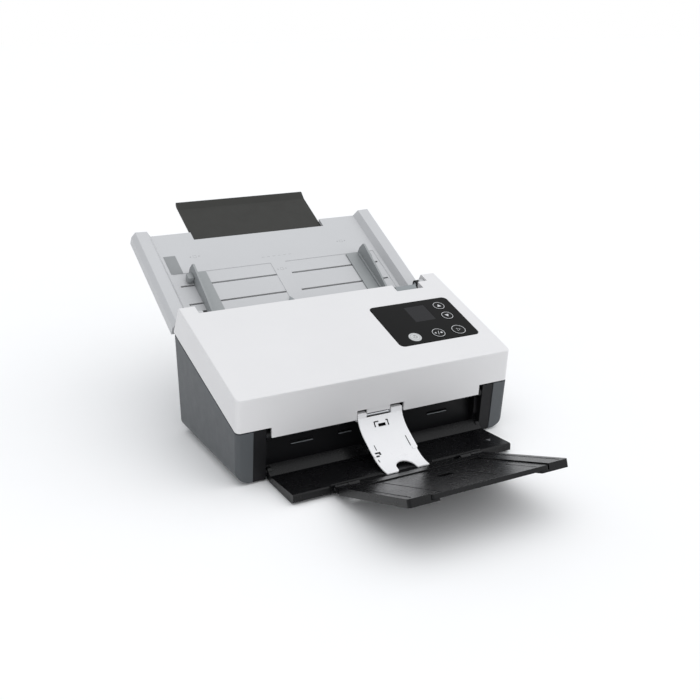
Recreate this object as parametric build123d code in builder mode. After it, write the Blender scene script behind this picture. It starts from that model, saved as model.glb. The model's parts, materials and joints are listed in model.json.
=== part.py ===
from build123d import *
import os
from math import atan2, cos, degrees, hypot, pi, radians, sin, sqrt

# A desktop sheet-fed document scanner, in millimetres.
# X runs to the user's right, Y to the back, Z up. The origin is on the table, under the middle
# of the whole object with its trays open. Heights and depths below are "casing" values:
# depth 0 is the cover's lower front edge, and FRONT_Y moves them into the model.

os.makedirs("parts", exist_ok=True)

# ------------------------------------------------------------------ driving dimensions
WIDTH = 316.0                 # over the side panels
HALF = WIDTH / 2
FRONT_Y = -83.9               # model Y of the cover's lower front edge
SKIN = 2.5                    # wall of a moulded shell
GAP = 0.4                     # gap between separate mouldings
SEAM_RISE = 0.3224            # slope of the cover's lower edge
SEAM_Z = 58.2                 # height of the cover's lower edge at the front
LID_RISE = 0.3327             # slope of the cover's top
LID_Y = -3.1                  # the cover's top front edge
LID_Z = 92.8
SHAFT_R = 3.0                 # roller shafts
RUN = 0.05                    # radial clearance of a running fit
COLUMN_IN = 126.5             # front opening, half width
COLUMN_OUT = 140.0            # seam between front frame and side panel
GUIDE_HALF = 123.4            # paper path, half width
MOUTH_Y = 137.0               # the cover's rear edge over the paper inlet
COVER_PIN = (6.2, 48.0)       # front hinge shaft
COVER_PIN_R = 2.5
TRAY_PIN = (145.0, 134.0)     # input tray hinge
TRAY_PIN_R = 2.5
PATH_ANGLE = 17.9             # slope of the paper path
PATH_Z = 40.5                 # paper path height at depth 0
PAPER_GAP = 3.4               # between the two paper guides
TRAY_ANGLE = 29.0             # slope of the input tray
TRAY_FOOT = (99.6, 72.6)      # where the tray's plane meets the paper path
TRAY_START = 87.5             # distances up the tray's plane from its foot
TRAY_END = 237.0
OUT_ANGLE = 19.3              # slope of the output tray's second section
OUT_PIN = (-58.5, 9.5)        # hinge of that section
CLIP_AT = (7.0, 10.0)         # studs that the output tray clips onto
LATCH_AT = (115.5, 122.0)     # axis of the release lever and its latch bar
HOOK_X = (-119.8, 116.8)      # left faces of the two latch hooks
GEAR_MODULE = 1.0
GEAR_X = -134.0               # middle of the gear train
GEAR_WIDTH = 5.0


# ------------------------------------------------------------------ planes and small helpers
def side(x):
    """Plane across X; its own x is depth and its own y is height."""
    return Plane(origin=(x, FRONT_Y, 0), x_dir=(0, 1, 0), z_dir=(1, 0, 0))


def level(z):
    """Horizontal plane at a height."""
    return Plane(origin=(0, FRONT_Y, z), x_dir=(1, 0, 0), z_dir=(0, 0, 1))


def facing(y):
    """Upright plane at a depth, facing the user."""
    return Plane(origin=(0, FRONT_Y + y, 0), x_dir=(1, 0, 0), z_dir=(0, -1, 0))


def tilted(y, z, angle, height=0.0):
    """Plane through a depth and height, rising towards the back; its own y runs up the slope."""
    a = radians(angle)
    base = (0, FRONT_Y + y - height * sin(a), z + height * cos(a))
    return Plane(origin=base, x_dir=(1, 0, 0), z_dir=(0, -sin(a), cos(a)))


def path(height=0.0):
    return tilted(0, PATH_Z, PATH_ANGLE, height)


def lid(height=0.0):
    return tilted(LID_Y, LID_Z, degrees(atan2(LID_RISE, 1)), height)


def tray(height=0.0):
    return tilted(*TRAY_FOOT, TRAY_ANGLE, height)


def across_tray(s):
    """Plane across the input tray at a distance up it; its own y is height above the tray."""
    a = radians(TRAY_ANGLE)
    y, z = on_tray(s)
    return Plane(origin=(0, FRONT_Y + y, z), x_dir=(-1, 0, 0), z_dir=(0, cos(a), sin(a)))


def outfeed(height=0.0):
    """Plane of the output tray's second section; its own y runs back towards the hinge."""
    return tilted(*OUT_PIN, -OUT_ANGLE, height)


def seam_z(y, drop=0.0):
    return SEAM_Z + SEAM_RISE * y - drop


def lid_z(y, drop=0.0):
    return LID_Z + LID_RISE * (y - LID_Y) - drop


def outline(plane, *points, rounding=0.0):
    """Face with straight sides, and rounded corners where a rounding is given."""
    with BuildSketch(plane) as face:
        with BuildLine():
            Polyline(*points, close=True)
        make_face()
        if rounding:
            fillet(face.vertices(), rounding)
    return face.sketch


def plate(plane, x0, x1, y0, y1, rounding=0.0):
    """Rectangular face between two x and two y values of its plane."""
    corners = ((x0, y0), (x1, y0), (x1, y1), (x0, y1))
    return outline(plane, *corners, rounding=rounding)


def disc(plane, x, y, radius, bore=0.0):
    with BuildSketch(plane) as face:
        with Locations((x, y)):
            Circle(radius)
            if bore:
                Circle(bore, mode=Mode.SUBTRACT)
    return face.sketch


def on_path(u, height=0.0):
    """Depth and height of a point on the paper path's plane."""
    a = radians(PATH_ANGLE)
    return (u * cos(a) - height * sin(a), PATH_Z + u * sin(a) + height * cos(a))


def on_tray(s, height=0.0):
    a = radians(TRAY_ANGLE)
    y, z = TRAY_FOOT
    return (y + s * cos(a) - height * sin(a), z + s * sin(a) + height * cos(a))


def save(part, name):
    part.label = name
    export_step(part, f"parts/{name}.step")


def save_pair(part, name):
    """Write a right-hand piece and its mirror image."""
    save(part, f"{name}_right")
    with BuildPart() as other:
        mirror(part, about=Plane.YZ, mode=Mode.ADD)
    save(other.part, f"{name}_left")


# Roller centres, each set so that its tyre stands 0.6 above the paper path.
EXIT_TYRE_R = 7.0
FEED_TYRE_R = 9.0
PICK_TYRE_R = 12.0
TYRE_PROUD = 0.6
EXIT_U = 31.5
FEED_U = 87.0
PICK_S = 14.5
EXIT_AT = on_path(EXIT_U, TYRE_PROUD - EXIT_TYRE_R)
FEED_AT = on_path(FEED_U, TYRE_PROUD - FEED_TYRE_R)
PICK_AT = on_tray(PICK_S, TYRE_PROUD - PICK_TYRE_R)
PINCH_R = 5.0
EXIT_PINCH_AT = on_path(EXIT_U, TYRE_PROUD + PINCH_R + 0.2)
FEED_PINCH_AT = on_path(FEED_U, TYRE_PROUD + PINCH_R + 0.2)
SEPARATION_R = 10.0
SEPARATION_AT = on_tray(PICK_S, TYRE_PROUD + SEPARATION_R + 0.2)
SENSOR_U = (49.0, 67.0)
SENSOR_HALF = 112.0

# ------------------------------------------------------------------ cover
MOUTH_HALF = 127.7            # clear width between the cover's ears, halved
EAR_IN = 140.0                # the ears step out to this behind the mouth
NOTCH_X = 93.0                # the release lever's notch, left end
NOTCH_Y = 125.0
SKIRT_HALF = 121.0
SKIRT_Z = 47.0
SKIRT_NOTCH_HALF = 27.5
PANEL_X = (42.0, 142.0)
PANEL_Y = (36.0, 111.0)       # up the lid from its front edge
PANEL_R = 6.0

cover_side = ((0, SEAM_Z), (LID_Y, LID_Z), (150.2, lid_z(150.2)), (170.0, seam_z(170.0)))

with BuildPart() as cover_shell:
    extrude(outline(side(0), *cover_side), amount=HALF, both=True)
    upright = cover_shell.edges().filter_by(lambda e: abs(e.center().X) > HALF - 1)
    fillet(upright.filter_by(lambda e: e.center().Y < FRONT_Y + 1), 5.0)
    top = cover_shell.faces().filter_by(lambda f: f.normal_at().Z > 0.9)
    fillet(top.edges(), 1.6)
    rear = cover_shell.faces().filter_by(lambda f: f.normal_at().Y > 0.6)
    fillet(rear.edges().filter_by(lambda e: abs(e.center().X) > HALF - 1), 1.6)
    # hollow of the main body, open below
    hollow = ((2.8, 50), (-0.43, lid_z(-0.43, 2.63)), (134.5, lid_z(134.5, 2.63)), (134.5, 50))
    extrude(outline(side(0), *hollow), amount=HALF - SKIN, both=True, mode=Mode.SUBTRACT)
    # hollows of the two ears
    ear = ((130, 80), (130, lid_z(130, 2.63)), (149.2, lid_z(149.2, 2.63)), (175.4, 100), (175.4, 80))
    for start in (EAR_IN + SKIN, SKIN - HALF):
        extrude(outline(side(start), *ear), amount=HALF - EAR_IN - 2 * SKIN, mode=Mode.SUBTRACT)
    # inner walls beside the paper mouth
    cheek = ((107, seam_z(107)), (107, lid_z(107, 2)), (136, lid_z(136, 2)), (136, seam_z(136)))
    for start in (MOUTH_HALF, -MOUTH_HALF - SKIN):
        extrude(outline(side(start), *cheek), amount=SKIN)
    # paper mouth and the slots for the input tray's arms
    extrude(plate(level(60), -MOUTH_HALF, MOUTH_HALF, 134, 180), amount=66, mode=Mode.SUBTRACT)
    extrude(plate(level(126), -EAR_IN, EAR_IN, MOUTH_Y, 180), amount=40, mode=Mode.SUBTRACT)
    extrude(plate(level(60), -EAR_IN, EAR_IN, MOUTH_Y, 180), amount=80, mode=Mode.SUBTRACT)
    extrude(plate(level(60), NOTCH_X, MOUTH_HALF, NOTCH_Y, 180), amount=90, mode=Mode.SUBTRACT)
    # front skirt with its notch and centre tab
    skirt = ((0, SEAM_Z), (0.9, SKIRT_Z), (3.3, SKIRT_Z), (2.6, SEAM_Z + 2), (0.2, SEAM_Z + 2))
    extrude(outline(side(0), *skirt), amount=SKIRT_HALF, both=True)
    notch = plate(facing(-2), -SKIRT_NOTCH_HALF, SKIRT_NOTCH_HALF, SKIRT_Z - 1, 57.0)
    extrude(notch, amount=-8, mode=Mode.SUBTRACT)
    tab = ((1.0, 57.2), (1.2, 51.8), (3.2, 51.8), (2.7, 57.4))
    extrude(outline(side(-15.8), *tab), amount=26.8)
    # opening for the control panel
    opening = plate(lid(1), PANEL_X[0] - 0.3, PANEL_X[1] + 0.3, PANEL_Y[0] - 0.3, PANEL_Y[1] + 0.3, PANEL_R)
    extrude(opening, amount=-8, mode=Mode.SUBTRACT)
save(cover_shell.part, "cover_shell")

# Frame under the cover: upper paper guide, mouth ceiling, side webs and hinge lugs.
FRAME_START = 13.0
ceiling_foot = on_path(102.0, PAPER_GAP)
ceiling_top = (134.2, lid_z(134.2, 2.75))
ceiling_mid = (121.5, 97.0)


def frame_sheet(plane, closed_web=False):
    """Side view of the upper guide and mouth ceiling, or of the whole web above them."""
    first = on_path(FRAME_START / cos(radians(PATH_ANGLE)), PAPER_GAP)
    with BuildSketch(plane) as face:
        with BuildLine():
            Line(first, ceiling_foot)
            ThreePointArc(ceiling_foot, ceiling_mid, ceiling_top)
            if closed_web:
                corner = (FRAME_START, lid_z(FRAME_START, 2.75))
                Polyline(ceiling_top, corner, (FRAME_START, first[1]), first)
            else:
                back_top = (131.5, lid_z(131.5, 2.75))
                back_foot = on_path(101.0, PAPER_GAP + 2.2)
                Line(ceiling_top, back_top)
                ThreePointArc(back_top, (119.3, 98.4), back_foot)
                Line(back_foot, on_path(FRAME_START / cos(radians(PATH_ANGLE)), PAPER_GAP + 2.2))
                Line(on_path(FRAME_START / cos(radians(PATH_ANGLE)), PAPER_GAP + 2.2), first)
        make_face()
    return face.sketch


with BuildPart() as cover_frame:
    extrude(frame_sheet(side(0)), amount=GUIDE_HALF, both=True)
    for start in (121.0, -GUIDE_HALF):
        extrude(frame_sheet(side(start), closed_web=True), amount=GUIDE_HALF - 121.0)
    # hinge lugs on the front shaft
    for start in (121.5, -125.5):
        arm = ((6.2, 43.8), (16, 48.6), (24, 58), (20, 64), (4.2, 51.8))
        extrude(outline(side(start), *arm), amount=4.0)
        extrude(disc(side(start), *COVER_PIN, 4.4), amount=4.0)
    extrude(disc(side(-130), *COVER_PIN, COVER_PIN_R + RUN), amount=260, mode=Mode.SUBTRACT)
    # windows: sensor glass, pinch rollers, separation roller, release lever
    window = plate(path(0), -SENSOR_HALF, SENSOR_HALF, *SENSOR_U)
    extrude(window, amount=12, mode=Mode.SUBTRACT)
    for x in (-52, 28):
        extrude(plate(path(0), x - 1, x + 25, FEED_U - 7, FEED_U + 7), amount=8, mode=Mode.SUBTRACT)
        extrude(plate(path(0), x - 1, x + 25, EXIT_U - 7, EXIT_U + 7), amount=8, mode=Mode.SUBTRACT)
    extrude(plate(tray(0), -17, 17, PICK_S - 14, PICK_S + 14), amount=30, mode=Mode.SUBTRACT)
    extrude(plate(level(96), NOTCH_X - 0.2, 120.6, 120.5, 140), amount=50, mode=Mode.SUBTRACT)
    for x in HOOK_X:
        extrude(plate(level(84), x - 0.6, x + 3.6, 108, 126), amount=36, mode=Mode.SUBTRACT)
    # bearings of the pinch rollers and the separation roller
    for u, centre in ((FEED_U, FEED_PINCH_AT), (EXIT_U, EXIT_PINCH_AT)):
        extrude(plate(path(0), -70, 70, u - 2, u + 2), amount=8, mode=Mode.SUBTRACT)
        for x in (-74, 70):
            extrude(plate(path(PAPER_GAP), x, x + 4, u - 4, u + 4), amount=5.4)
        extrude(disc(side(-74), *centre, 1.5 + RUN), amount=148, mode=Mode.SUBTRACT)
    for x in (-21.5, 17.5):
        bracket = ((102.5, 80.5), (114, 89.5), (111, 93.5), (102.5, 93.5))
        extrude(outline(side(x), *bracket), amount=4)
    extrude(disc(side(-30), *SEPARATION_AT, 2.5 + RUN), amount=60, mode=Mode.SUBTRACT)
save(cover_frame.part, "cover_frame")

# Image sensors: one bar above the paper path and one below, each behind a strip of glass.
SENSOR_BARS = (("upper", PAPER_GAP, 1), ("lower", 0.0, -1))
for name, face_at, way in SENSOR_BARS:
    with BuildPart() as sensor_glass:
        half = SENSOR_HALF - GAP
        extrude(plate(path(face_at), -half, half, SENSOR_U[0] + GAP, SENSOR_U[1] - GAP), amount=1.6 * way)
    save(sensor_glass.part, f"{name}_sensor_glass")
    with BuildPart() as sensor_bar:
        low = face_at + 2.7 * way
        extrude(plate(path(low), -118, 118, SENSOR_U[0] - 3, SENSOR_U[1] + 3), amount=11 * way)
        half = SENSOR_HALF - 1
        extrude(plate(path(low), -half, half, SENSOR_U[0] + 1, SENSOR_U[1] - 1), amount=-1.0 * way)
        end = low + 11 * way
        extrude(plate(path(end), -90, 90, SENSOR_U[0] + 2, SENSOR_U[1] - 2, 2), amount=2.0 * way)
    save(sensor_bar.part, f"{name}_sensor_bar")

# Control panel: gloss plate with a wider flange under the lid, a window and five key holes.
KEY_TRAVEL = 0.8
DISPLAY_X = (82.0, 108.0)
DISPLAY_Y = (73.4, 102.4)
KEYS = {
    "key_up": (124.5, 95.8, 7.3),
    "key_down": (123.9, 76.1, 7.3),
    "key_scan": (121.4, 48.6, 8.5),
    "key_stop": (95.7, 48.7, 8.0),
    "key_power": (65.8, 48.3, 7.3),
}

with BuildPart() as control_panel:
    extrude(plate(lid(-2.8), *PANEL_X, *PANEL_Y, PANEL_R), amount=3.1)
    rim = control_panel.faces().sort_by(Axis.Z)[-1]
    fillet(rim.edges(), 0.5)
    flange = plate(lid(-4.3), PANEL_X[0] - 2, PANEL_X[1] + 2, PANEL_Y[0] - 2, PANEL_Y[1] + 2, PANEL_R)
    extrude(flange, amount=1.5)
    pocket = plate(lid(-1.2), *DISPLAY_X, *DISPLAY_Y, 1.0)
    extrude(pocket, amount=3, mode=Mode.SUBTRACT)
    for x, y, radius in KEYS.values():
        extrude(disc(lid(-6), x, y, radius + 0.25), amount=8, mode=Mode.SUBTRACT)
save(control_panel.part, "control_panel")

with BuildPart() as display_window:
    glass = plate(
        lid(-1.2), DISPLAY_X[0] + 0.15, DISPLAY_X[1] - 0.15, DISPLAY_Y[0] + 0.15, DISPLAY_Y[1] - 0.15, 0.8
    )
    extrude(glass, amount=1.35)
save(display_window.part, "display_window")

for name, (x, y, radius) in KEYS.items():
    with BuildPart() as key:
        extrude(disc(lid(-4.2), x, y, radius), amount=4.9)
        crown = key.faces().sort_by(Axis.Z)[-1]
        fillet(crown.edges(), 0.6)
        extrude(disc(lid(-4.6), x, y, 2.0), amount=0.5)
    save(key.part, name)

with BuildPart() as key_board:
    extrude(plate(lid(-7.6), PANEL_X[0] + 4, PANEL_X[1] - 4, PANEL_Y[0] + 3, PANEL_Y[1] - 3, 2), amount=1.6)
save(key_board.part, "key_board")

# Release lever in the cover's right rear notch, on the latch bar with its two hooks.
LEVER_X = NOTCH_X + 0.8
with BuildPart() as release_lever:
    pad_side = (
        (110.5, 126.0), (111.5, lid_z(111.5, 4.2)), (124.0, lid_z(124, 3.8)), (126.4, lid_z(126.4, 1.4)),
        (131, lid_z(131, -1.4)), (134.6, lid_z(134.6, 1.2)), (132.6, 126.0),
    )
    extrude(outline(side(LEVER_X), *pad_side), amount=120.2 - LEVER_X)
    skirt_side = (
        (131, 127), (132.6, 126), (131.5, 122), (126.5, 110), (122.0, 103.0), (121.4, 105.5), (125, 119),
    )
    extrude(outline(side(LEVER_X), *skirt_side), amount=HOOK_X[1] - 0.6 - LEVER_X)
    extrude(disc(side(LEVER_X), *LATCH_AT, 6.0), amount=HOOK_X[1] - 0.6 - LEVER_X)
    extrude(disc(side(90), *LATCH_AT, SHAFT_R + 0.02), amount=40, mode=Mode.SUBTRACT)
save(release_lever.part, "release_lever")

with BuildPart() as latch_bar:
    extrude(disc(side(-120.4), *LATCH_AT, SHAFT_R), amount=240.8)
    for start in HOOK_X:
        hook = ((112, 122), (119, 122), (118.5, 98), (122.5, 95.5), (121.5, 91.5), (114.5, 91.5))
        extrude(outline(side(start), *hook), amount=3.0)
save(latch_bar.part, "latch_bar")

# Pinch rollers over the feed and exit rollers, and the separation roller over the pick roller.
for name, centre in (("feed_pinch_roller", FEED_PINCH_AT), ("exit_pinch_roller", EXIT_PINCH_AT)):
    with BuildPart() as pinch:
        extrude(disc(side(-73.5), *centre, 1.5), amount=147)
        for x in (-52, 28):
            extrude(disc(side(x), *centre, PINCH_R), amount=24)
    save(pinch.part, name)

with BuildPart() as separation_roller:
    extrude(disc(side(-22), *SEPARATION_AT, 2.5), amount=44)
    for groove in range(4):
        extrude(disc(side(-14 + groove * 7.2), *SEPARATION_AT, SEPARATION_R), amount=6.4)
    extrude(disc(side(-14), *SEPARATION_AT, SEPARATION_R - 1.2), amount=28)
save(separation_roller.part, "separation_roller")

# ------------------------------------------------------------------ base casing
BASE_Z = 2.1
BASE_WALL = 3.0
BASE_BACK = 164.5             # rear face at the bottom
BASE_LEAN = 0.0495            # the rear face leans back by this much per unit of height
FRONT_LEAN = (6.1 - 0.1) / (56.6 - BASE_Z)
SEAM_GAP = 1.6                # dark gap under the cover


def base_front(z, inset=0.0):
    return 6.1 - FRONT_LEAN * (z - BASE_Z) + inset


def base_back(z, inset=0.0):
    return BASE_BACK + BASE_LEAN * (z - BASE_Z) - inset


def base_side(inset=0.0, top=0.0):
    """Corners of the base's side view, drawn in by a wall, and open-topped by a height."""
    low = BASE_Z + inset
    front_top = seam_z(0, SEAM_GAP) + top
    rear_top = seam_z(169.8, SEAM_GAP) + top
    return (
        (base_front(low, inset), low),
        (base_front(front_top, inset), front_top),
        (base_back(rear_top, inset), rear_top),
        (base_back(low, inset), low),
    )


PANEL_CORNER = 16.0
with BuildPart() as panel_hollow:
    inside = outline(side(COLUMN_OUT - 1), *base_side(BASE_WALL, 30))
    extrude(inside, amount=HALF - COLUMN_OUT + 1 - BASE_WALL)
    with BuildSketch(facing(-20)):
        with BuildLine():
            wall = HALF - BASE_WALL
            corner = PANEL_CORNER - BASE_WALL
            floor = BASE_Z + BASE_WALL
            Polyline((COLUMN_OUT - 2, 200), (COLUMN_OUT - 2, floor), (wall - corner, floor))
            RadiusArc((wall - corner, floor), (wall, floor + corner), -corner)
            Polyline((wall, floor + corner), (wall, 200), (COLUMN_OUT - 2, 200))
        make_face()
    extrude(amount=-220, mode=Mode.INTERSECT)

with BuildPart() as side_panel:
    extrude(outline(side(COLUMN_OUT), *base_side()), amount=HALF - COLUMN_OUT)
    uprights = side_panel.edges().filter_by(lambda e: e.center().X > HALF - 1 and 20 < e.length < 130)
    fillet(uprights.filter_by(lambda e: abs(e.tangent_at(0.5).Z) > 0.9), 5.0)
    with BuildSketch(facing(-20)):
        with BuildLine():
            Polyline((COLUMN_OUT - 2, 200), (COLUMN_OUT - 2, BASE_Z), (HALF - PANEL_CORNER, BASE_Z))
            RadiusArc((HALF - PANEL_CORNER, BASE_Z), (HALF, BASE_Z + PANEL_CORNER), -PANEL_CORNER)
            Polyline((HALF, BASE_Z + PANEL_CORNER), (HALF, 200), (COLUMN_OUT - 2, 200))
        make_face()
    extrude(amount=-220, mode=Mode.INTERSECT)
    add(panel_hollow.part, mode=Mode.SUBTRACT)
save_pair(side_panel.part, "side_panel")

with BuildPart() as rear_panel:
    low, high = BASE_Z, 106.0
    section = (
        (150, low), (base_back(low), low), (base_back(high), high), (base_back(high, BASE_WALL), high),
        (base_back(low, BASE_WALL), low + 2.6), (150, low + 2.6),
    )
    extrude(outline(side(0), *section), amount=COLUMN_OUT - GAP, both=True)
    heel = rear_panel.edges().filter_by(lambda e: e.center().Z < 5 and e.center().Y > FRONT_Y + 158)
    heel = heel.filter_by(lambda e: e.length > 200)
    fillet(heel.filter_by(lambda e: e.center().Z < BASE_Z + 0.1), 7.0)
    fillet(rear_panel.edges().filter_by(
        lambda e: e.length > 200 and 4 < e.center().Z < 5 and e.center().Y > FRONT_Y + 158
    ), 4.5)
    # air slots, power inlet and data socket
    with BuildSketch(facing(150)):
        with Locations(*[(-40 + 7 * i, 62) for i in range(12)]):
            SlotOverall(30, 3.0, rotation=90)
    extrude(amount=-30, mode=Mode.SUBTRACT)
    extrude(disc(facing(150), 96, 24, 5.2), amount=-30, mode=Mode.SUBTRACT)
    extrude(plate(facing(150), 64.7, 77.3, 18.2, 29.8), amount=-30, mode=Mode.SUBTRACT)
save(rear_panel.part, "rear_panel")

FEET = [(x, y) for x in (-112, 112) for y in (26, 138)]
SCREWS = [(x, y) for x in (-118, 118) for y in (50, 120)]
with BuildPart() as base_pan:
    extrude(plate(level(BASE_Z), GAP - COLUMN_OUT, COLUMN_OUT - GAP, 12, 150 - GAP), amount=2.6)
    for x in (-60, 0, 60):
        extrude(plate(level(4.6), x - 1, x + 1, 30, 140), amount=3)
    for x, y in SCREWS:
        extrude(disc(level(4.6), x, y, 4.0), amount=6)
    for x, y in SCREWS:
        extrude(disc(level(0), x, y, 1.55), amount=20, mode=Mode.SUBTRACT)
save(base_pan.part, "base_pan")

with BuildPart() as rubber_feet:
    for x, y in FEET:
        extrude(disc(level(0), x, y, 8.0), amount=BASE_Z, taper=-4)
save(rubber_feet.part, "rubber_feet")

with BuildPart() as case_screws:
    for x, y in SCREWS:
        extrude(disc(level(0.9), x, y, 3.0), amount=BASE_Z - 0.9)
        extrude(disc(level(1.5), x, y, 1.5), amount=8)
        extrude(plate(level(0.8), x - 2, x + 2, y - 0.4, y + 0.4), amount=0.7, mode=Mode.SUBTRACT)
        extrude(plate(level(0.8), x - 0.4, x + 0.4, y - 2, y + 2), amount=0.7, mode=Mode.SUBTRACT)
save(case_screws.part, "case_screws")

# Front frame: two inner columns, the wall at the back of the exit cavity and its cheeks.
with BuildPart() as front_frame:
    column = (
        (base_front(BASE_Z, 0.6), BASE_Z), (0.9, seam_z(0.9, SEAM_GAP)),
        (23.6, seam_z(23.6, SEAM_GAP)), (23.6, 5.0), (11.5, 5.0), (11.5, BASE_Z),
    )
    for start in (COLUMN_IN, GAP - COLUMN_OUT):
        extrude(outline(side(start), *column), amount=COLUMN_OUT - GAP - COLUMN_IN)
    for start in (129.0, -137.0):
        extrude(plate(side(start), 10, 26, 8, 56), amount=8, mode=Mode.SUBTRACT)
    extrude(plate(side(-COLUMN_IN), 20, 22.5, 8, 41), amount=2 * COLUMN_IN)
    for start in (122.0, -COLUMN_IN):
        cheek = ((13, 8), (13, 17), (10, 22), (9.5, 41), (22.5, 41), (22.5, 8))
        extrude(outline(side(start), *cheek), amount=COLUMN_IN - 122.0)
    # studs that the output tray clips onto
    for start in (121.4, -COLUMN_IN):
        extrude(disc(side(start), *CLIP_AT, 2.0), amount=COLUMN_IN - 121.4)
    # slots for the exit guides
    for x0, x1 in ((-93, -68), (-40, -24), (24, 40), (68, 93)):
        extrude(plate(facing(18), x0, x1, 28.4, 30.2), amount=-8, mode=Mode.SUBTRACT)
    extrude(disc(side(-136), *COVER_PIN, COVER_PIN_R + 0.02), amount=272, mode=Mode.SUBTRACT)
save(front_frame.part, "front_frame")

with BuildPart() as front_hinge_shaft:
    extrude(disc(side(-135.5), *COVER_PIN, COVER_PIN_R), amount=271)
save(front_hinge_shaft.part, "front_hinge_shaft")

# Chassis sides: webs that hold the rollers, a deck under the cover's rim and the tray's posts.
DECK_DROP = 3.4
with BuildPart() as chassis:
    web = (
        (24.4, 5.0), (24.4, seam_z(24.4, DECK_DROP)), (160, seam_z(160, DECK_DROP)), (156, 7),
    )
    extrude(outline(side(123.8), *web), amount=2.2)
    deck = (
        (24.4, seam_z(24.4, DECK_DROP)), (164, seam_z(164, DECK_DROP)),
        (164, seam_z(164, DECK_DROP + 2)), (24.4, seam_z(24.4, DECK_DROP + 2)),
    )
    extrude(outline(side(123.8), *deck), amount=30.6)
    lip = (
        (24.4, seam_z(24.4, 5)), (24.4, seam_z(24.4, -2)), (160, seam_z(160, -2)), (160, seam_z(160, 5)),
    )
    extrude(outline(side(152.4), *lip), amount=2.0)
    post = ((139.6, 98), (140, TRAY_PIN[1]), (150, TRAY_PIN[1]), (152, 100))
    extrude(outline(side(128.7), *post), amount=3.6)
    extrude(disc(side(128.7), *TRAY_PIN, 5.0), amount=3.6)
    extrude(disc(side(120), *TRAY_PIN, TRAY_PIN_R + 0.02), amount=20, mode=Mode.SUBTRACT)
    for centre in (EXIT_AT, FEED_AT, PICK_AT):
        extrude(disc(side(120), *centre, SHAFT_R + RUN), amount=8, mode=Mode.SUBTRACT)
save(chassis.part, "chassis_right")

with BuildPart() as tray_hinge_pins:
    for start in (128.7, -139.8):
        extrude(disc(side(start), *TRAY_PIN, TRAY_PIN_R), amount=11.1)
save(tray_hinge_pins.part, "tray_hinge_pins")

# ------------------------------------------------------------------ lower paper path
with BuildPart() as lower_paper_guide:
    extrude(plate(path(-2.4), -GUIDE_HALF, GUIDE_HALF, 21.4, 104.2), amount=2.4)
    lip = plate(side(-GUIDE_HALF), 20, 22.5, 41.4, 45.6)
    extrude(lip, amount=2 * GUIDE_HALF)
    for i in range(15):
        x = -105 + 15 * i
        extrude(plate(path(0), x - 0.5, x + 0.5, 69, 103), amount=0.4)
    extrude(plate(path(-4), -SENSOR_HALF, SENSOR_HALF, *SENSOR_U), amount=8, mode=Mode.SUBTRACT)
    for x in (-52, 28):
        extrude(plate(path(-4), x - 1, x + 25, FEED_U - 8, FEED_U + 8), amount=8, mode=Mode.SUBTRACT)
        extrude(plate(path(-4), x - 1, x + 25, EXIT_U - 7.4, EXIT_U + 7.4), amount=8, mode=Mode.SUBTRACT)
save(lower_paper_guide.part, "lower_paper_guide")

with BuildPart() as input_chute:
    extrude(plate(tray(-2.4), -GUIDE_HALF, GUIDE_HALF, 1.0, 85.3), amount=2.4)
    for i in range(9):
        x = -104 + 26 * i
        extrude(plate(tray(0), x - 0.5, x + 0.5, 30, 84), amount=0.4)
    extrude(plate(tray(-4), -21, 21, PICK_S - 10, PICK_S + 10), amount=8, mode=Mode.SUBTRACT)
    for x in (-119.8, 116.2):
        extrude(plate(tray(-4), x - 0.8, x + 4, 12, 34), amount=8, mode=Mode.SUBTRACT)
save(input_chute.part, "input_chute")


# ------------------------------------------------------------------ rollers, gears and motor
def meshed(centre_a, centre_b, teeth_a, phase_a, teeth_b):
    """Turn of gear b, in degrees, that sets its gap on the tooth of gear a facing it."""
    toward = degrees(atan2(centre_b[1] - centre_a[1], centre_b[0] - centre_a[0]))
    share_a = (toward - phase_a) * teeth_a / 360
    share_b = 0.5 - share_a
    return toward + 180 - share_b * 360 / teeth_b


def third_corner(a, b, from_a, from_b, sign):
    """Point at set distances from two others."""
    apart = hypot(b[0] - a[0], b[1] - a[1])
    along = (from_a ** 2 - from_b ** 2 + apart ** 2) / (2 * apart)
    off = sign * sqrt(from_a ** 2 - along ** 2)
    ux, uy = (b[0] - a[0]) / apart, (b[1] - a[1]) / apart
    return (a[0] + along * ux - off * uy, a[1] + along * uy + off * ux)


# One tooth: shares of the pitch either side of its middle, and heights over the pitch line.
TOOTH = ((-0.27, -1.2), (-0.20, 0.0), (-0.10, 0.85), (0.10, 0.85), (0.20, 0.0), (0.27, -1.2))


def gear_face(centre, teeth, phase):
    """Toothed outline; a tooth is narrower than its gap, which leaves backlash."""
    pitch = GEAR_MODULE * teeth / 2
    points = []
    for tooth in range(teeth):
        for share, rise in TOOTH:
            radius = pitch + rise
            angle = radians(phase + (tooth + share) * 360 / teeth)
            points.append((centre[0] + radius * cos(angle), centre[1] + radius * sin(angle)))
    return outline(side(GEAR_X - GEAR_WIDTH / 2), *points)


ROLLER_TEETH = 24
EXIT_IDLER_TEETH = 34
PICK_IDLER_TEETH = 18
PINION_TEETH = 12
half_module = GEAR_MODULE / 2
idler_reach = half_module * (ROLLER_TEETH + EXIT_IDLER_TEETH)
EXIT_IDLER_AT = third_corner(FEED_AT, EXIT_AT, idler_reach, idler_reach, 1)
pick_reach = half_module * (ROLLER_TEETH + PICK_IDLER_TEETH)
PICK_IDLER_AT = third_corner(FEED_AT, PICK_AT, pick_reach, pick_reach, -1)
MOTOR_ANGLE = radians(-80)
motor_reach = half_module * (ROLLER_TEETH + PINION_TEETH)
MOTOR_AT = (FEED_AT[0] + motor_reach * cos(MOTOR_ANGLE), FEED_AT[1] + motor_reach * sin(MOTOR_ANGLE))

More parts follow.
